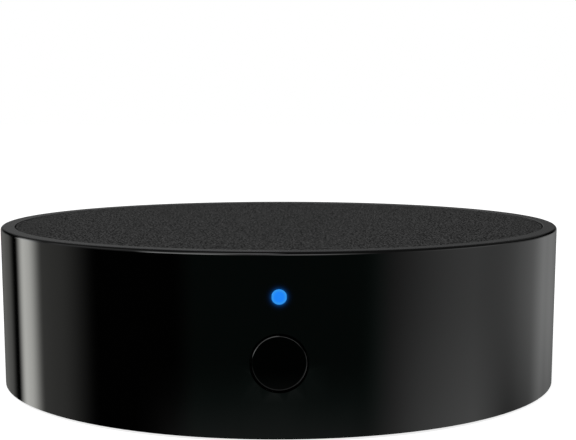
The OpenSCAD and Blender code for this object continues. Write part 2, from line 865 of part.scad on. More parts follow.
module diode_leads() {
    color([0.8, 0.8, 0.8]) translate([diode_x, diode_y, board_top_z])
        for (turn = [90, -90]) rotate([0, 0, turn]) translate([0, diode_l / 2, 0])
            leg(diode_leg_w, diode_foot, diode_h / 2, leg_t);
}

// Chip body whose metal ends stand slightly proud
module chip(h) {
    block(chip_l, chip_w - 2 * chip_end_t, h - chip_end_t);
    for (side = [-1, 1]) translate([side * (chip_l - chip_end) / 2, 0, 0]) block(chip_end, chip_w, h);
}

module chip_resistors() {
    color([0.1, 0.1, 0.12]) for (side = [-1, 1], step = [-2, -1, 1, 2])
        translate([side * column_x, module_shift + step * chip_pitch, board_top_z]) chip(chip_h);
}

module chip_capacitors() {
    color([0.6, 0.45, 0.3]) for (i = [0 : 2])
        translate([chip_column_x, chip_row_y + i * chip_capacitor_pitch, board_top_z])
            chip(chip_capacitor_h);
}

upper_shell();
top_panel();
panel_tape();
base_cover();
foot_ring();
foot_tape();
case_screws();
board_screws();
main_board();
button_cap();
switch_housing();
switch_cover();
switch_plunger();
switch_dome();
switch_terminals();
status_led();
light_guide();
for (i = [1 : emitter_count]) {
    ir_emitter(i);
    emitter_leads(i);
}
ir_receiver();
ir_receiver_leads();
wifi_board();
wifi_antenna();
wifi_chip();
wifi_crystal();
wifi_shield();
usb_shell();
usb_tongue();
usb_contacts();
regulator();
regulator_leads();
capacitor_can();
capacitor_base();
driver_transistors();
transistor_leads();
protection_diode();
diode_leads();
chip_resistors();
chip_capacitors();
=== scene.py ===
import json
import math

import bmesh
import bpy
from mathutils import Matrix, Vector

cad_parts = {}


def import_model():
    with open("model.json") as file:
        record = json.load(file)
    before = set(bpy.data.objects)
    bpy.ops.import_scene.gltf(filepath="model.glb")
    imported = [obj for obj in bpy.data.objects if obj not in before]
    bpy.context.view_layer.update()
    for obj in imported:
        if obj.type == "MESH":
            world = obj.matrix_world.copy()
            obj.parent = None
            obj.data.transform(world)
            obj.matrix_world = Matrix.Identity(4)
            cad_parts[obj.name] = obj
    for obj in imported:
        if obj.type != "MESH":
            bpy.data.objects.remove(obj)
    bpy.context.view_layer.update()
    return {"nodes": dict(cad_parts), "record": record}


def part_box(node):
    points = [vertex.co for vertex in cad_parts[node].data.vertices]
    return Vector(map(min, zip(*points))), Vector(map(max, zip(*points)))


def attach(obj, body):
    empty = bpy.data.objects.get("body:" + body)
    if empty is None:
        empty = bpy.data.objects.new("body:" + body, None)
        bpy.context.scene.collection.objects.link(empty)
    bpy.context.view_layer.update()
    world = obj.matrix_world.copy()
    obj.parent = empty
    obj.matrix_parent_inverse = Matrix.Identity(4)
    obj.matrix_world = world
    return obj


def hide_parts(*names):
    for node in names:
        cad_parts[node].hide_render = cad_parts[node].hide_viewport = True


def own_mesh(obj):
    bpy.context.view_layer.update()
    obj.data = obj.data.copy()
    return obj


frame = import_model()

MM = 0.001
nodes = frame["nodes"]

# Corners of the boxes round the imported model's nodes, in metres
_, shell_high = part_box("upper_shell")
button_low, button_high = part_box("button_cap")
_, guide_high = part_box("light_guide")
can_low, can_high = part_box("capacitor_can")
radio_low, radio_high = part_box("wifi_chip")
module_low, module_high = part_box("wifi_board")
_, antenna_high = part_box("wifi_antenna")
dome_low, dome_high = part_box("switch_dome")
_, resistor_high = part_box("chip_resistors")
ceramic_low, ceramic_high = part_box("chip_capacitors")
_, case_screw_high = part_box("case_screws")
_, board_screw_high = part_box("board_screws")

# Places and sizes that the materials use, in millimetres
BODY_R = shell_high.x / MM
RIM_Z = shell_high.z / MM
RIM_HOLE_R = BODY_R - 1.6
BORE_R = BODY_R - 2.02
LIGHT_Z = guide_high.z / MM - 1.1
LIGHT_R = 0.735
SCREW_HEAD_R = 1.9
RESISTOR_X = resistor_high.x / MM - 1.0
CERAMIC_X = (ceramic_low.x + ceramic_high.x) / 2 / MM


class Shader:
    """One material made of nodes. A socket takes a number, a colour or another node's output."""

    SOCKETS = {"colour": "Base Color", "rough": "Roughness", "metal": "Metallic", "ior": "IOR",
               "normal": "Normal", "coat": "Coat Weight", "glow": "Emission Color",
               "glow_level": "Emission Strength", "clear": "Transmission Weight",
               "under": "Subsurface Weight", "under_reach": "Subsurface Scale", "sheen": "Sheen Weight"}

    def __init__(self, name, tree=None):
        if tree is None:
            self.material = bpy.data.materials.new(name)
            self.material.use_nodes = True
            tree = self.material.node_tree
        self.tree = tree
        tree.nodes.clear()

    def add(self, kind, inputs=None, output=0, **settings):
        made = self.tree.nodes.new("ShaderNode" + kind)
        for key, value in settings.items():
            setattr(made, key, value)
        for socket, value in (inputs or {}).items():
            if isinstance(value, bpy.types.NodeSocket):
                self.tree.links.new(value, made.inputs[socket])
            else:
                made.inputs[socket].default_value = value
        return made.outputs[output]

    def place(self, scale=1 / MM):
        """Position on the object in millimetres, or in metres times another scale."""
        where = self.add("TexCoord", output="Object")
        return self.add("VectorMath", {0: where, "Scale": scale}, operation="SCALE")

    def facing(self):
        """Parts of the surface's normal along the object's X, Y and Z."""
        return self.split(self.add("TexCoord", output="Normal"))

    def stretch(self, vector, x, y, z):
        return self.add("VectorMath", {0: vector, 1: (x, y, z)}, operation="MULTIPLY")

    def split(self, vector):
        made = self.tree.nodes.new("ShaderNodeSeparateXYZ")
        self.tree.links.new(vector, made.inputs[0])
        return made.outputs[0], made.outputs[1], made.outputs[2]

    def join(self, x, y, z):
        return self.add("CombineXYZ", {0: x, 1: y, 2: z})

    def math(self, operation, *values):
        return self.add("Math", dict(enumerate(values)), operation=operation)

    def sum(self, one, other):
        return self.math("ADD", one, other)

    def less(self, one, other):
        return self.math("SUBTRACT", one, other)

    def times(self, one, *others):
        for other in others:
            one = self.math("MULTIPLY", one, other)
        return one

    def mixed(self, one, share, other, other_share):
        """Sum of two values, each times its share."""
        return self.sum(self.times(one, share), self.times(other, other_share))

    def most(self, one, other):
        return self.math("MAXIMUM", one, other)

    def size(self, value):
        return self.math("ABSOLUTE", value)

    def length(self, x, y):
        return self.math("SQRT", self.sum(self.times(x, x), self.times(y, y)))

    def step(self, value, low, high, to_low=0.0, to_high=1.0):
        """Smooth step from to_low at low to to_high at high."""
        return self.add("MapRange", {"Value": value, "From Min": low, "From Max": high,
                                     "To Min": to_low, "To Max": to_high},
                        interpolation_type="SMOOTHSTEP")

    def spread(self, value, low, high):
        """Turns 0 to 1 into low to high."""
        return self.add("MapRange", {"Value": value, "To Min": low, "To Max": high})

    def noise(self, vector, scale, detail=3.0, rough=0.5):
        """Uneven pattern of 0 to 1; on a position in millimetres the scale is in waves per millimetre."""
        return self.add("TexNoise", {"Vector": vector, "Scale": scale, "Detail": detail,
                                     "Roughness": rough})

    def cells(self, vector, scale):
        """Distance to the nearest of scattered points."""
        return self.add("TexVoronoi", {"Vector": vector, "Scale": scale})

    def blend(self, factor, one, other):
        return self.add("Mix", {"Factor": factor, 6: one, 7: other}, output=2, data_type="RGBA")

    def bump(self, height, depth):
        """Surface relief; depth is the height in millimetres of the step from 0 to 1."""
        return self.add("Bump", {"Height": height, "Distance": depth * MM})

    def surface(self, **sockets):
        inputs = {self.SOCKETS[key]: value for key, value in sockets.items()}
        self.end(self.add("BsdfPrincipled", inputs))
        return self.material

    def end(self, shader):
        kind = "Material" if hasattr(self, "material") else "World"
        out = self.tree.nodes.new("ShaderNodeOutput" + kind)
        self.tree.links.new(shader, out.inputs["Surface"])


def colour(r, g, b):
    return (r, g, b, 1.0)


def grey(level):
    return colour(level, level, level)


def dimmed(tone, share):
    return colour(*(part * share for part in tone))


# Side wall and rim: gloss all round, satin on the flat of the rim, a fine moulded texture inside
def shell_material():
    # The third tone is a painted highlight for the rim's inner edge
    wall_tone, rim_tone, edge_highlight_tone = grey(0.0003), colour(0.026, 0.026, 0.0265), colour(0.07, 0.07, 0.071)
    halo_fall, halo_tone = -8.7, colour(0.002, 0.05, 0.2)
    front_from_y, front_full_y = -31.5, -32.3
    s = Shader("gloss_black")
    p = s.place()
    x, y, z = s.split(p)
    r = s.length(x, y)
    rim = s.step(z, RIM_Z - 0.075, RIM_Z - 0.015)
    inside = s.step(r, BORE_R + 0.04, BORE_R - 0.04)
    hidden = s.times(inside, s.step(z, RIM_Z - 0.9, RIM_Z - 1.1))
    fine = s.noise(p, 9.0, 4.0, 0.6)
    tone = s.blend(rim, wall_tone, rim_tone)
    # Painted highlight: the rim's inner edge gets a paler tone that stands for a line of light along it, and
    # a rougher finish
    painted_edge_highlight = s.times(s.step(r, RIM_HOLE_R + 0.12, RIM_HOLE_R + 0.08), s.step(z, RIM_Z - 0.12, RIM_Z - 0.08))
    tone = s.blend(painted_edge_highlight, tone, edge_highlight_tone)
    rim_rough = s.spread(s.noise(p, 2.5, 3.0), 0.24, 0.30)
    wall_rough = s.spread(s.noise(p, 0.3, 2.0), 0.025, 0.045)
    rough = s.sum(s.times(rim, rim_rough), s.times(s.less(1.0, rim), wall_rough))
    rough = s.most(rough, s.times(s.most(hidden, painted_edge_highlight), 0.5))
    inner_tone = s.blend(fine, colour(0.004, 0.004, 0.0045), colour(0.009, 0.009, 0.0095))
    tone = s.blend(hidden, tone, inner_tone)
    relief = s.times(fine, s.most(rim, hidden))
    # Painted glow: blue light painted on the front of the shell round the status light, fading away from it
    away = s.length(x, s.less(z, LIGHT_Z))
    front = s.step(y, front_from_y, front_full_y)
    halo = s.times(front, s.math("EXPONENT", s.times(s.less(away, LIGHT_R), halo_fall)))
    return s.surface(colour=tone, rough=rough, ior=1.5, normal=s.bump(relief, 0.004),
                     glow=halo_tone, glow_level=halo)


# Top panel: an eroded grain that shows as speckles, with finer specks between them
def panel_material():
    speckle_tone = grey(0.042)
    s = Shader("grained_black")
    p = s.place()
    grain = s.noise(s.stretch(p, 1.4, 1.0, 1.0), 3.0, 1.0, 0.6)
    speck = s.noise(p, 8.0, 3.0, 0.7)
    tone = s.blend(s.step(grain, 0.475, 0.56), grey(0.0), speckle_tone)
    relief = s.sum(grain, s.times(speck, 0.3))
    return s.surface(colour=tone, rough=s.spread(grain, 0.7, 0.95), ior=1.5,
                     normal=s.bump(relief, 0.06))


# Light guide: lit from behind, brightest at its end in the wall and paler toward its edge
def guide_material():
    middle_glow, edge_glow = colour(0.0098, 0.235, 0.955), colour(0.030, 0.296, 0.855)
    middle_r, edge_r = 0.42, 0.66
    dim_y, bright_y, dim_level = -31.0, -32.0, 0.3
    s = Shader("clear_guide")
    p = s.place()
    x, y, z = s.split(p)
    away = s.length(x, s.less(z, LIGHT_Z))
    edge = s.step(away, middle_r, edge_r)
    glow = s.blend(edge, middle_glow, edge_glow)
    tip = s.step(y, dim_y, bright_y, dim_level, 1.0)
    flow = s.spread(s.noise(p, 3.0, 3.0), 0.94, 1.0)
    haze = s.noise(p, 14.0, 3.0)
    return s.surface(colour=s.blend(haze, colour(0.001, 0.008, 0.02), colour(0.002, 0.012, 0.03)),
                     rough=s.spread(haze, 0.16, 0.28), ior=1.5, glow=glow,
                     glow_level=s.times(tip, flow))


# Status light source: a glowing lens between two ceramic ends
def source_material():
    lens_tone, lens_glow = colour(0.02, 0.2, 0.85), colour(0.03, 0.25, 1.0)
    s = Shader("light_source")
    p = s.place()
    x, y, z = s.split(p)
    ends = s.step(s.size(x), 0.66, 0.72)
    mottle = s.noise(p, 8.0, 3.0)
    ceramic = s.blend(mottle, colour(0.55, 0.54, 0.5), colour(0.68, 0.67, 0.63))
    tone = s.blend(ends, lens_tone, ceramic)
    glow = s.blend(ends, lens_glow, grey(0.0))
    return s.surface(colour=tone, rough=s.spread(mottle, 0.25, 0.45), glow=glow, glow_level=2.0,
                     normal=s.bump(mottle, 0.004))


# Button: a black face that shines little, inside a polished round edge
def button_face_material():
    s = Shader("button_face")
    p = s.place()
    flow = s.noise(p, 3.0, 4.0, 0.6)
    tone = s.blend(flow, grey(0.00015), colour(0.0003, 0.0003, 0.00032))
    return s.surface(colour=tone, rough=s.spread(flow, 0.04, 0.08), ior=1.2,
                     normal=s.bump(flow, 0.0003))


def button_edge_material():
    s = Shader("button_edge")
    p = s.place()
    flow = s.noise(p, 2.0, 4.0, 0.6)
    tone = s.blend(flow, grey(0.0003), grey(0.0008))
    return s.surface(colour=tone, rough=s.spread(flow, 0.03, 0.06), ior=1.45,
                     normal=s.bump(flow, 0.0002))


# Moulded plastic or epoxy with a fine eroded texture, uneven gloss and slight flow marks
def moulded(name, tone, rough, texture, depth, flow):
    s = Shader(name)
    p = s.place()
    broad = s.noise(p, flow, 3.0, 0.55)
    fine = s.noise(p, texture, 4.0, 0.65)
    pits = s.step(s.cells(p, texture * 1.7), 0.0, 0.5)
    relief = s.mixed(fine, 0.6, pits, 0.4)
    cloud = s.step(s.mixed(broad, 0.55, fine, 0.45), 0.35, 0.65)
    shade = s.blend(cloud, dimmed(tone, 0.72), dimmed(tone, 1.18))
    gloss = s.mixed(broad, 0.5, fine, 0.5)
    return s.surface(colour=shade, rough=s.spread(gloss, rough - 0.1, rough + 0.1),
                     normal=s.bump(relief, depth))


# Plated sheet metal, drawn or rolled along one direction, with fine scratches and a cloudy plating
def plated(name, tone, rough, along=(0.6, 9.0, 9.0), cloud=1.2):
    s = Shader(name)
    p = s.place()
    lines = s.noise(s.stretch(p, *along), 4.0, 5.0, 0.65)
    clouds = s.noise(p, cloud, 3.0, 0.5)
    across = s.stretch(p, along[1], along[0], along[2])
    scratch = s.step(s.noise(across, 2.2, 2.0, 0.5), 0.66, 0.7)
    shade = s.blend(s.mixed(lines, 0.5, clouds, 0.5), dimmed(tone, 0.78), colour(*tone))
    relief = s.less(lines, s.times(scratch, 0.5))
    gloss = s.mixed(lines, 0.6, clouds, 0.4)
    return s.surface(colour=shade, rough=s.spread(gloss, rough - 0.1, rough + 0.12), metal=1.0,
                     normal=s.bump(relief, 0.004))


# Foot ring: silicone rubber with turned rings from its mould, paler where it is worn, and some dust
def rubber_material():
    ring_pitch = 0.9
    s = Shader("foot_rubber")
    p = s.place()
    x, y, _ = s.split(p)
    r = s.length(x, y)
    fine = s.noise(p, 7.0, 4.0, 0.7)
    dust = s.step(s.noise(p, 16.0, 2.0, 0.6), 0.64, 0.74)
    worn = s.step(s.noise(p, 0.35, 4.0, 0.6), 0.45, 0.7)
    shade = s.blend(worn, colour(0.022, 0.022, 0.0225), grey(0.042))
    shade = s.blend(s.times(dust, 0.35), shade, colour(0.13, 0.125, 0.12))
    rings = s.math("SINE", s.times(r, 2 * math.pi / ring_pitch))
    relief = s.mixed(fine, 0.7, rings, 0.12)
    return s.surface(colour=shade, rough=s.spread(fine, 0.7, 0.9), ior=1.42,
                     normal=s.bump(relief, 0.02), sheen=0.15)


# Adhesive tape: fibres both ways under the glue, with a few trapped bubbles
def adhesive_material():
    s = Shader("adhesive")
    p = s.place()
    fibres = s.noise(s.stretch(p, 0.35, 6.0, 6.0), 3.0, 5.0, 0.7)
    across = s.noise(s.stretch(p, 6.0, 0.35, 6.0), 3.0, 5.0, 0.7)
    bubbles = s.step(s.cells(p, 0.9), 0.10, 0.16)
    weave = s.mixed(fibres, 0.5, across, 0.5)
    shade = s.blend(weave, colour(0.5, 0.47, 0.4), colour(0.7, 0.68, 0.62))
    shade = s.blend(bubbles, colour(0.4, 0.37, 0.31), shade)
    relief = s.sum(weave, s.times(bubbles, 0.4))
    return s.surface(colour=shade, rough=s.spread(weave, 0.35, 0.6), ior=1.47,
                     normal=s.bump(relief, 0.01))


# Fibreglass board under solder mask: tracks, plated holes, bare pads and a laminated edge. The middle
# of each hole is painted near black: painted shade inside the hole. A random value of 0 to 1 picks what
# each square of the pitch holds: a track along X, a track along Y, nothing or a plated hole.
def board_material(name, mask, over_copper, pitch, pads):
    x_track_below, y_track_below, hole_above, blur = 0.43, 0.79, 0.89, 0.01
    s = Shader(name)
    p = s.place()
    x, y, z = s.split(p)
    flat = s.step(s.size(s.facing()[2]), 0.4, 0.6)
    u, v = s.times(x, 1 / pitch), s.times(y, 1 / pitch)
    square = s.join(s.math("FLOOR", u), s.math("FLOOR", v), s.math("FLOOR", s.times(z, 0.9)))
    pick = s.add("TexWhiteNoise", {"Vector": square}, noise_dimensions="3D")
    du = s.size(s.less(s.math("FRACT", u), 0.5))
    dv = s.size(s.less(s.math("FRACT", v), 0.5))
    along_x = s.times(s.step(dv, 0.15, 0.12), s.step(pick, x_track_below + blur, x_track_below - blur))
    along_y = s.times(s.step(du, 0.15, 0.12),
                      s.times(s.step(pick, x_track_below - blur, x_track_below + blur),
                              s.step(pick, y_track_below + blur, y_track_below - blur)))
    out = s.length(du, dv)
    land = s.times(s.step(out, 0.34, 0.31), s.step(pick, hole_above - blur, hole_above + blur))
    hole_and_shade = s.times(s.step(out, 0.17, 0.15), s.step(pick, hole_above - blur, hole_above + blur))
    pad, free = pads(s, x, y)
    hole_and_shade = s.times(hole_and_shade, free)
    tracks = s.times(s.most(along_x, along_y), free, flat)
    bare = s.times(s.most(s.times(land, free), pad), flat)
    fibre = s.noise(s.stretch(p, 1.0, 1.0, 9.0), 2.0, 4.0, 0.6)
    mottle = s.noise(p, 1.5, 3.0)
    face = s.blend(mottle, dimmed(mask, 0.8), colour(*mask))
    shade = s.blend(tracks, face, colour(*over_copper))
    shade = s.blend(bare, shade, colour(0.62, 0.6, 0.56))
    # Painted shade: the middle of each hole gets a near-black colour
    shade = s.blend(s.times(hole_and_shade, flat), shade, colour(0.02, 0.02, 0.015))
    edge = s.blend(fibre, colour(0.16, 0.15, 0.06), colour(0.34, 0.31, 0.17))
    shade = s.blend(flat, edge, shade)
    relief = s.sum(s.times(tracks, 0.6), s.less(bare, s.times(hole_and_shade, flat)))
    rough = s.sum(s.spread(mottle, 0.22, 0.34), s.times(s.less(1.0, flat), 0.4))
    return s.surface(colour=shade, rough=rough, metal=s.times(bare, 0.9), ior=1.5,
                     normal=s.bump(relief, 0.03))


def main_board_pads(s, x, y):
    """Bare rings round the four board screws, and where tracks may run."""
    pad_r = 2.4
    cx, cy = screw_centre(board_screw_high)
    away = s.length(s.less(s.size(x), cx), s.less(s.size(y), cy))
    return s.step(away, pad_r + 0.05, pad_r), s.step(away, pad_r + 0.2, pad_r + 0.3)


def module_pads(s, x, y):
    """Plated pads along the module's two short sides, and where tracks may run: not by the antenna."""
    pads_per_mm, pads_from_x, corner = 0.5, 8.25, 1.5
    rows = s.size(s.less(s.math("FRACT", s.times(y, pads_per_mm)), 0.5))
    low, high = module_low.y / MM + corner, module_high.y / MM - corner
    inner = s.times(s.step(y, low - 0.05, low), s.step(y, high + 0.05, high))
    pads = s.times(s.step(rows, 0.26, 0.24), s.step(s.size(x), pads_from_x, pads_from_x + 0.05), inner)
    return pads, s.step(x, antenna_high.x / MM + 0.5, antenna_high.x / MM + 0.55)


def screw_centre(high):
    """Distances in X and Y from the case's axis to a screw's axis, for screws set symmetrically."""
    return high.x / MM - SCREW_HEAD_R, high.y / MM - SCREW_HEAD_R


# Zinc-plated screws: turned heads, rolled threads below them
def screw_material():
    thread_pitch, shank_r = 0.4, 1.01
    s = Shader("screw_steel")
    p = s.place()
    x, y, z = s.split(p)
    ax, ay = s.size(x), s.size(y)
    far, near = screw_centre(case_screw_high)
    side = s.math("GREATER_THAN", ax, ay)
    cx = s.sum(s.times(side, far), s.times(s.less(1.0, side), near))
    cy = s.sum(s.times(side, near), s.times(s.less(1.0, side), far))
    dx, dy = s.less(ax, cx), s.less(ay, cy)
    r = s.length(dx, dy)
    turn = s.times(s.math("ARCTAN2", dy, dx), 1 / (2 * math.pi))
    wound = s.sum(s.times(z, 1 / thread_pitch), turn)
    thread = s.times(s.math("PINGPONG", wound, 0.5), 2.0)
    shank = s.step(r, shank_r + 0.05, shank_r)
    rings = s.noise(s.join(s.times(r, 9.0), 0.0, 0.0), 1.0, 3.0, 0.6)
    clouds = s.noise(p, 1.0, 3.0)
    shade = s.blend(clouds, colour(0.42, 0.44, 0.47), colour(0.62, 0.61, 0.57))
    relief = s.sum(s.times(shank, thread), s.times(s.less(1.0, shank), s.times(rings, 0.08)))
    gloss = s.mixed(rings, 0.5, clouds, 0.5)
    return s.surface(colour=shade, rough=s.spread(gloss, 0.2, 0.42), metal=1.0,
                     normal=s.bump(relief, 0.12))


# Drawn can: brushed top with a dark segment and crossed relief grooves, fine draw lines down the side
def can_material():
    segment_x, groove_half_w, groove_half_l = -1.35, 0.06, 2.0
    s = Shader("can_aluminium")
    p = s.place()
    x, y, z = s.split(p)
    dx = s.less(x, (can_low.x + can_high.x) / 2 / MM)
    dy = s.less(y, (can_low.y + can_high.y) / 2 / MM)
    r = s.length(dx, dy)
    top = s.step(z, can_high.z / MM - 0.12, can_high.z / MM - 0.04)
    mark = s.times(top, s.step(dx, segment_x, segment_x - 0.05))
    groove = s.most(s.step(s.size(dx), groove_half_w + 0.08, groove_half_w),
                    s.step(s.size(dy), groove_half_w + 0.08, groove_half_w))
    groove = s.times(groove, top, s.step(r, groove_half_l + 0.1, groove_half_l))
    lines = s.noise(s.stretch(p, 9.0, 9.0, 0.4), 4.0, 4.0, 0.6)
    brush = s.noise(s.stretch(p, 0.5, 10.0, 10.0), 4.0, 4.0, 0.6)
    grain = s.sum(s.times(top, brush), s.times(s.less(1.0, top), lines))
    shade = s.blend(grain, colour(0.55, 0.55, 0.57), colour(0.74, 0.74, 0.75))
    shade = s.blend(mark, shade, colour(0.01, 0.011, 0.014))
    relief = s.less(s.times(grain, 0.2), groove)
    return s.surface(colour=shade, rough=s.spread(grain, 0.22, 0.4),
                     metal=s.less(1.0, s.times(mark, 0.9)), normal=s.bump(relief, 0.06))


# Small parts made of a body between two tinned ends
def chip_material(name, centre_x, body, side_tone, speckle):
    body_half_l = 0.64
    s = Shader(name)
    p = s.place()
    x, _, _ = s.split(p)
    u = s.less(s.size(x), centre_x)
    tin = s.step(s.size(u), body_half_l, body_half_l + 0.03)
    top = s.step(s.facing()[2], 0.4, 0.6)
    grain = s.noise(p, speckle, 4.0, 0.65)
    main = s.blend(grain, dimmed(body, 0.7), colour(*body))
    flank = s.blend(grain, dimmed(side_tone, 0.85), colour(*side_tone))
    shade = s.blend(tin, s.blend(top, flank, main), s.blend(grain, grey(0.55), grey(0.72)))
    return s.surface(colour=shade, rough=s.spread(grain, 0.22, 0.42), metal=tin,
                     normal=s.bump(grain, 0.01))


# Moulded epoxy bodies; the radio chip has a small polished dimple at one corner
def part_black_material():
    dimple_in, dimple_r = 0.8, 0.28
    lid_z = radio_high.z / MM
    s = Shader("part_black")
    p = s.place()
    x, y, z = s.split(p)
    fine = s.noise(p, 12.0, 4.0, 0.65)
    broad = s.noise(p, 0.9, 2.0)
    away = s.length(s.less(x, radio_low.x / MM + dimple_in), s.less(y, radio_low.y / MM + dimple_in))
    dot = s.times(s.step(away, dimple_r + 0.04, dimple_r), s.step(z, lid_z - 0.05, lid_z - 0.02),
                  s.step(z, lid_z + 0.05, lid_z + 0.02))
    shade = s.blend(s.mixed(fine, 0.6, broad, 0.4), colour(0.011, 0.011, 0.0115),
                    colour(0.026, 0.026, 0.027))
    rough = s.less(s.spread(fine, 0.42, 0.62), s.times(dot, 0.25))
    relief = s.less(s.times(fine, 0.25), dot)
    return s.surface(colour=shade, rough=rough, normal=s.bump(relief, 0.04))


# Clear epoxy with a dark tint, polished by its mould, with faint streaks inside
def tinted_epoxy(name, tone, deep):
    s = Shader(name)
    p = s.place()
    streaks = s.noise(s.stretch(p, 1.0, 1.0, 0.4), 2.0, 3.0, 0.6)
    fine = s.noise(p, 10.0, 3.0)
    shade = s.blend(streaks, colour(*deep), colour(*tone))
    return s.surface(colour=shade, rough=s.spread(fine, 0.05, 0.14), ior=1.54, clear=0.35, coat=0.3,
                     normal=s.bump(fine, 0.001))


# Plunger: moulded nylon, waxy, with faint lines along its travel
def nylon_material():
    s = Shader("plunger_cream")
    p = s.place()
    fine = s.noise(p, 8.0, 4.0, 0.6)
    lines = s.noise(s.stretch(p, 0.8, 7.0, 0.8), 3.0, 3.0)
    shade = s.blend(s.mixed(fine, 0.5, lines, 0.5), colour(0.5, 0.45, 0.34), colour(0.66, 0.61, 0.5))
    return s.surface(colour=shade, rough=s.spread(fine, 0.32, 0.5), under=0.25,
                     under_reach=0.4 * MM, normal=s.bump(fine, 0.004))


BASE_BLACK, NICKEL, GOLD, LID = (0.02, 0.02, 0.021), (0.68, 0.68, 0.69), (0.8, 0.56, 0.22), (0.76, 0.72, 0.62)
GREEN_MASK, GREEN_COPPER = (0.012, 0.095, 0.038), (0.03, 0.19, 0.08)
BLUE_MASK, BLUE_COPPER = (0.008, 0.025, 0.09), (0.02, 0.06, 0.19)
ALONG_Y = (9.0, 0.6, 9.0)
LOOKS = {
    "gloss_black": shell_material(),
    "grained_black": panel_material(),
    "button_black": button_edge_material(),
    "base_black": moulded("base_black", BASE_BLACK, rough=0.55, texture=7.0, depth=0.02, flow=0.15),
    "foot_rubber": rubber_material(),
    "adhesive": adhesive_material(),
    "screw_steel": screw_material(),
    "board_green": board_material("board_green", GREEN_MASK, GREEN_COPPER, 1.1, main_board_pads),
    "module_blue": board_material("module_blue", BLUE_MASK, BLUE_COPPER, 0.7, module_pads),
    "bright_metal": plated("bright_metal", NICKEL, 0.28),
    "contact_gold": plated("contact_gold", GOLD, 0.26, ALONG_Y),
    "part_black": part_black_material(),
    "plunger_cream": nylon_material(),
    "light_source": source_material(),
    "clear_guide": guide_material(),
    "emitter_epoxy": tinted_epoxy("emitter_epoxy", (0.03, 0.03, 0.09), (0.012, 0.012, 0.05)),
    "receiver_epoxy": tinted_epoxy("receiver_epoxy", (0.025, 0.014, 0.022), (0.01, 0.006, 0.012)),
    "can_aluminium": can_material(),
    "crystal_can": plated("crystal_can", LID, 0.3, ALONG_Y, 2.0),
    "chip_dark": chip_material("chip_dark", RESISTOR_X, (0.022, 0.022, 0.026), (0.72, 0.71, 0.68), 9.0),
    "chip_tan": chip_material("chip_tan", CERAMIC_X, (0.36, 0.21, 0.1), (0.33, 0.19, 0.09), 12.0),
}
slot_of = {part["node"]: part["material_slot"] for part in frame["record"]["subparts"]}
for name, node in nodes.items():
    node.material_slots[0].material = LOOKS[slot_of[name]]


def turned(name, rings, axis_z, turns):
    """Piece turned round an axis along Y from (radius, distance forward) rows; radius 0 is one point."""
    sharp = math.radians(30)
    made = bmesh.new()
    angles = [2 * math.pi * j / turns for j in range(turns)]
    rows = [[made.verts.new((r * math.cos(t), -out, axis_z + r * math.sin(t)))
             for t in (angles if r else [0.0])] for r, out in rings]
    for one, other in zip(rows, rows[1:]):
        for j in range(turns):
            k = (j + 1) % turns
            corners = [one[j % len(one)], one[k % len(one)], other[k % len(other)], other[j % len(other)]]
            made.faces.new(list(dict.fromkeys(corners)))
    bmesh.ops.recalc_face_normals(made, faces=made.faces)
    for each in made.faces:
        each.smooth = True
    mesh = bpy.data.meshes.new(name)
    made.to_mesh(mesh)
    made.free()
    mesh.set_sharp_from_angle(angle=sharp)
    piece = bpy.data.objects.new(name, mesh)
    bpy.context.scene.collection.objects.link(piece)
    return piece


# Snap dome of the switch: a thin spring cap, which in the switch flattens as the button goes in; built here
# in its rest shape
def snap_dome():
    thick, flat_rise = 0.08 * MM, 0.2 * MM
    steps, turns = 14, 64
    seat, rise, r = -dome_high.y, dome_high.y - dome_low.y, dome_high.x
    ball = (r * r + rise * rise) / (2 * rise)
    centre = seat + rise - ball
    inner = ball - thick
    inner_r = math.sqrt(inner * inner - (seat - centre) ** 2)

    def arc(edge_r, ball_r, order):
        return [(edge_r * i / steps, centre + math.sqrt(ball_r * ball_r - (edge_r * i / steps) ** 2))
                for i in order]

    profile = arc(r, ball, range(steps + 1)) + arc(inner_r, inner, range(steps, -1, -1))
    piece = turned("snap_dome", profile, (dome_low.z + dome_high.z) / 2, turns)
    piece.data.materials.append(LOOKS["bright_metal"])
    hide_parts("switch_dome")
    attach(piece, "case")
    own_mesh(piece)


# Button turned round its axis, with a finer round edge than the solid's
def button():
    face_r, stem_r, flange_r = 2.75 * MM, 1.5 * MM, button_high.x
    face_to_flange_back, flange_t = 3.07 * MM, 0.8 * MM
    edge_round, steps, turns = 0.2 * MM, 10, 128
    flat_within = 0.001 * MM
    face, tip = -button_low.y, -button_high.y
    flange_back = face - face_to_flange_back
    flange_front = flange_back + flange_t
    rounded = [math.pi / 2 * i / steps for i in range(steps + 1)]
    profile = [(0.0, tip), (stem_r, tip), (stem_r, flange_back), (flange_r, flange_back),
               (flange_r, flange_front), (face_r, flange_front)]
    profile += [(face_r - edge_round * (1 - math.cos(a)), face - edge_round * (1 - math.sin(a)))
                for a in rounded]
    profile.append((0.0, face))
    made = turned("button", profile, (button_low.z + button_high.z) / 2, turns)
    made.data.materials.append(LOOKS["button_black"])
    made.data.materials.append(button_face_material())
    for each in made.data.polygons:
        if all(abs(made.data.vertices[v].co.y + face) < flat_within for v in each.vertices):
            each.material_index = 1
    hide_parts("button_cap")
    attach(made, "button")


button()
snap_dome()


# Studio: a pale floor, a white room, and a dark tent with soft panels that only glossy rays see
def floor():
    half = 3.0
    mesh = bpy.data.meshes.new("floor")
    corners = [(-half, -half, 0), (half, -half, 0), (half, half, 0), (-half, half, 0)]
    mesh.from_pydata(corners, [], [(0, 1, 2, 3)])
    made = bpy.data.objects.new("floor", mesh)
    bpy.context.scene.collection.objects.link(made)
    s = Shader("floor_white")
    lit = s.add("AddShader", {0: s.add("BsdfDiffuse", {"Color": grey(0.4)}),
                              1: s.add("Emission", {"Color": grey(1.0), "Strength": 0.82})})
    below = s.add("NewGeometry", output="Backfacing")
    s.end(s.add("MixShader", {0: below, 1: lit, 2: s.add("BsdfTransparent")}))
    mesh.materials.append(s.material)
    made.visible_diffuse = made.visible_glossy = made.visible_transmission = made.visible_shadow = False


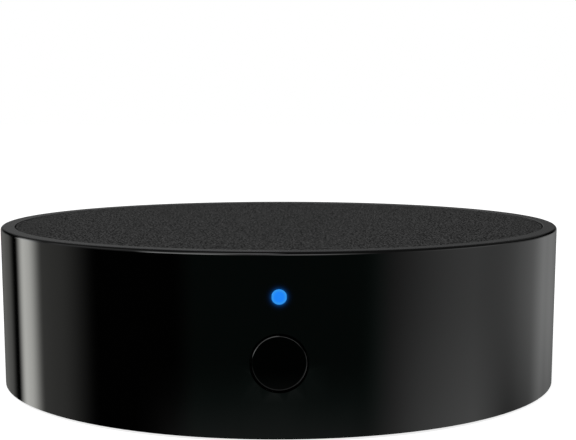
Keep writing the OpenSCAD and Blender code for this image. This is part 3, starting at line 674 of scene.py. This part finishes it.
# Soft panels of the tent, in degrees: azimuth from, full from, full to, to; elevation from, full from,
# full to, to; then the level. Azimuth 0 is toward the camera and +90 is on the object's right. Two equal
# or falling angles mean no fade on that side.
PANELS = {
    "left_strip": (-131.5, -122.5, -118.5, -107, -90, -80, 4, 22, 2.35),
    "left_fill": (-128, -121, -96, -74, -90, -80, 4, 20, 0.33),
    "left_back": (-165, -150, -142, -133, -90, -80, -2, 8, 0.21),
    "left_glint": (-58, -48, -30, -12, -4, 2, 9, 17, 3.4),
    "left_high": (-112, -100, -60, -40, 2, 10, 30, 44, 0.4),
    "front_fill": (-42, -31, 26, 36, -90, -80, -6, -3, 0.038),
    "front_floor": (-60, -30, 26, 50, -90, -90, -20.5, -12.5, 0.3),
    "front_top": (-56, -10, -6, 4, 5, 16, 44, 56, 2.1),
    "front_side": (-6, 4, 12, 42, 3, 9, 13, 20, 2.0),
    "right": (25, 78, 80, 110, -90, -80, 6, 20, 0.68),
    "right_low": (30, 60, 80, 105, -90, -90, -20, -8, 0.45),
    "right_top": (45, 75, 100, 125, -6, 0, 6, 16, 0.35),
    "right_back": (84, 112, 133, 172, -20, -8, -4, 4, 0.58),
    "right_edge": (120, 131, 132, 140, -90, -80, -4, 4, 0.13),
    "behind_left": (-181, -181, -168, -150, -90, -90, 20, 35, 0.135),
    "behind_right": (150, 168, 181, 181, -90, -90, 20, 35, 0.085),
    "overhead": (-181, -181, 181, 181, 12, 25, 91, 91, 0.11),
}


def window(s, angle, start, full_from, full_to, end):
    """1 between the full angles, with a fade on each side whose angles rise."""
    return s.times(s.step(angle, start, full_from) if full_from > start else 1.0,
                   s.step(angle, end, full_to) if end > full_to else 1.0)


def tent():
    radius, rings, turns = 2.0, 24, 48
    dark_level = 0.004
    made = bpy.data.objects.new("studio_tent", bpy.data.meshes.new("studio_tent"))
    bpy.context.scene.collection.objects.link(made)
    verts = [(radius * math.cos(e) * math.cos(t), radius * math.cos(e) * math.sin(t), radius * math.sin(e))
             for e in [math.pi * (i / rings - 0.5) for i in range(rings + 1)]
             for t in [2 * math.pi * j / turns for j in range(turns)]]
    faces = [(i * turns + j, i * turns + (j + 1) % turns, (i + 1) * turns + (j + 1) % turns,
              (i + 1) * turns + j) for i in range(rings) for j in range(turns)]
    made.data.from_pydata(verts, [], faces)
    s = Shader("studio_tent")
    x, y, z = s.split(s.place(1.0))
    azimuth = s.math("DEGREES", s.math("ARCTAN2", x, s.times(y, -1.0)))
    rise = s.math("DEGREES", s.math("ARCTAN2", z, s.length(x, y)))
    total = dark_level
    for a0, a1, a2, a3, e0, e1, e2, e3, level in PANELS.values():
        up = window(s, rise, e0, e1, e2, e3)
        across = window(s, azimuth, a0, a1, a2, a3)
        total = s.sum(total, s.times(across, up, level))
    # Below the horizon, cool just in front of the object and warm on its left
    low = s.step(rise, 2, -4)
    front = s.times(s.step(s.size(azimuth), 46, 30), low, s.step(rise, -19, -12))
    left = s.times(s.step(azimuth, -60, -90), low)
    tint = s.blend(left, colour(0.99, 1.0, 0.995), colour(1.0, 1.0, 0.95))
    tint = s.blend(front, tint, colour(0.68, 1.12, 0.97))
    s.end(s.add("Emission", {"Color": tint, "Strength": total}))
    made.data.materials.append(s.material)
    made.visible_camera = made.visible_diffuse = made.visible_shadow = made.visible_transmission = False


def world():
    room_level, seen_level = 0.45, 1.0
    made = bpy.data.worlds.new("studio")
    made.use_nodes = True
    bpy.context.scene.world = made
    s = Shader("studio", made.node_tree)
    path = s.tree.nodes.new("ShaderNodeLightPath")
    through = s.most(path.outputs["Is Glossy Ray"], path.outputs["Is Transmission Ray"])
    seen = s.most(path.outputs["Is Camera Ray"], through)
    s.end(s.add("MixShader", {0: seen,
                              1: s.add("Background", {"Color": grey(1.0), "Strength": room_level}),
                              2: s.add("Background", {"Color": grey(1.0), "Strength": seen_level})}))


def lamp(name, place, watts):
    disk, aim = 0.5, Vector((0, 0, 0.01))
    data = bpy.data.lights.new(name, "AREA")
    data.shape = "DISK"
    data.size, data.energy = disk, watts
    made = bpy.data.objects.new(name, data)
    made.location = place
    made.rotation_euler = (aim - Vector(place)).to_track_quat("-Z", "Y").to_euler()
    made.visible_glossy = False
    bpy.context.scene.collection.objects.link(made)


# Camera fitted to the object's outline in the photo
def camera():
    distance, height = 149.33 * MM, 31.72 * MM
    tilt_down, turn = 5.008, -0.415
    data = bpy.data.cameras.new("camera")
    data.sensor_width, data.lens = 36.0, 77.09
    data.clip_start = 0.005
    made = bpy.data.objects.new("camera", data)
    made.location = (0.0, -distance, height)
    made.rotation_euler = (math.radians(90 - tilt_down), 0.0, math.radians(turn))
    bpy.context.scene.collection.objects.link(made)
    bpy.context.scene.camera = made


floor()
tent()
world()
lamp("key_lamp", (-0.35, -0.45, 0.75), 4.6)
lamp("fill_lamp", (0.6, 0.1, 0.5), 2.0)
camera()
bpy.context.scene.view_settings.view_transform = "Standard"
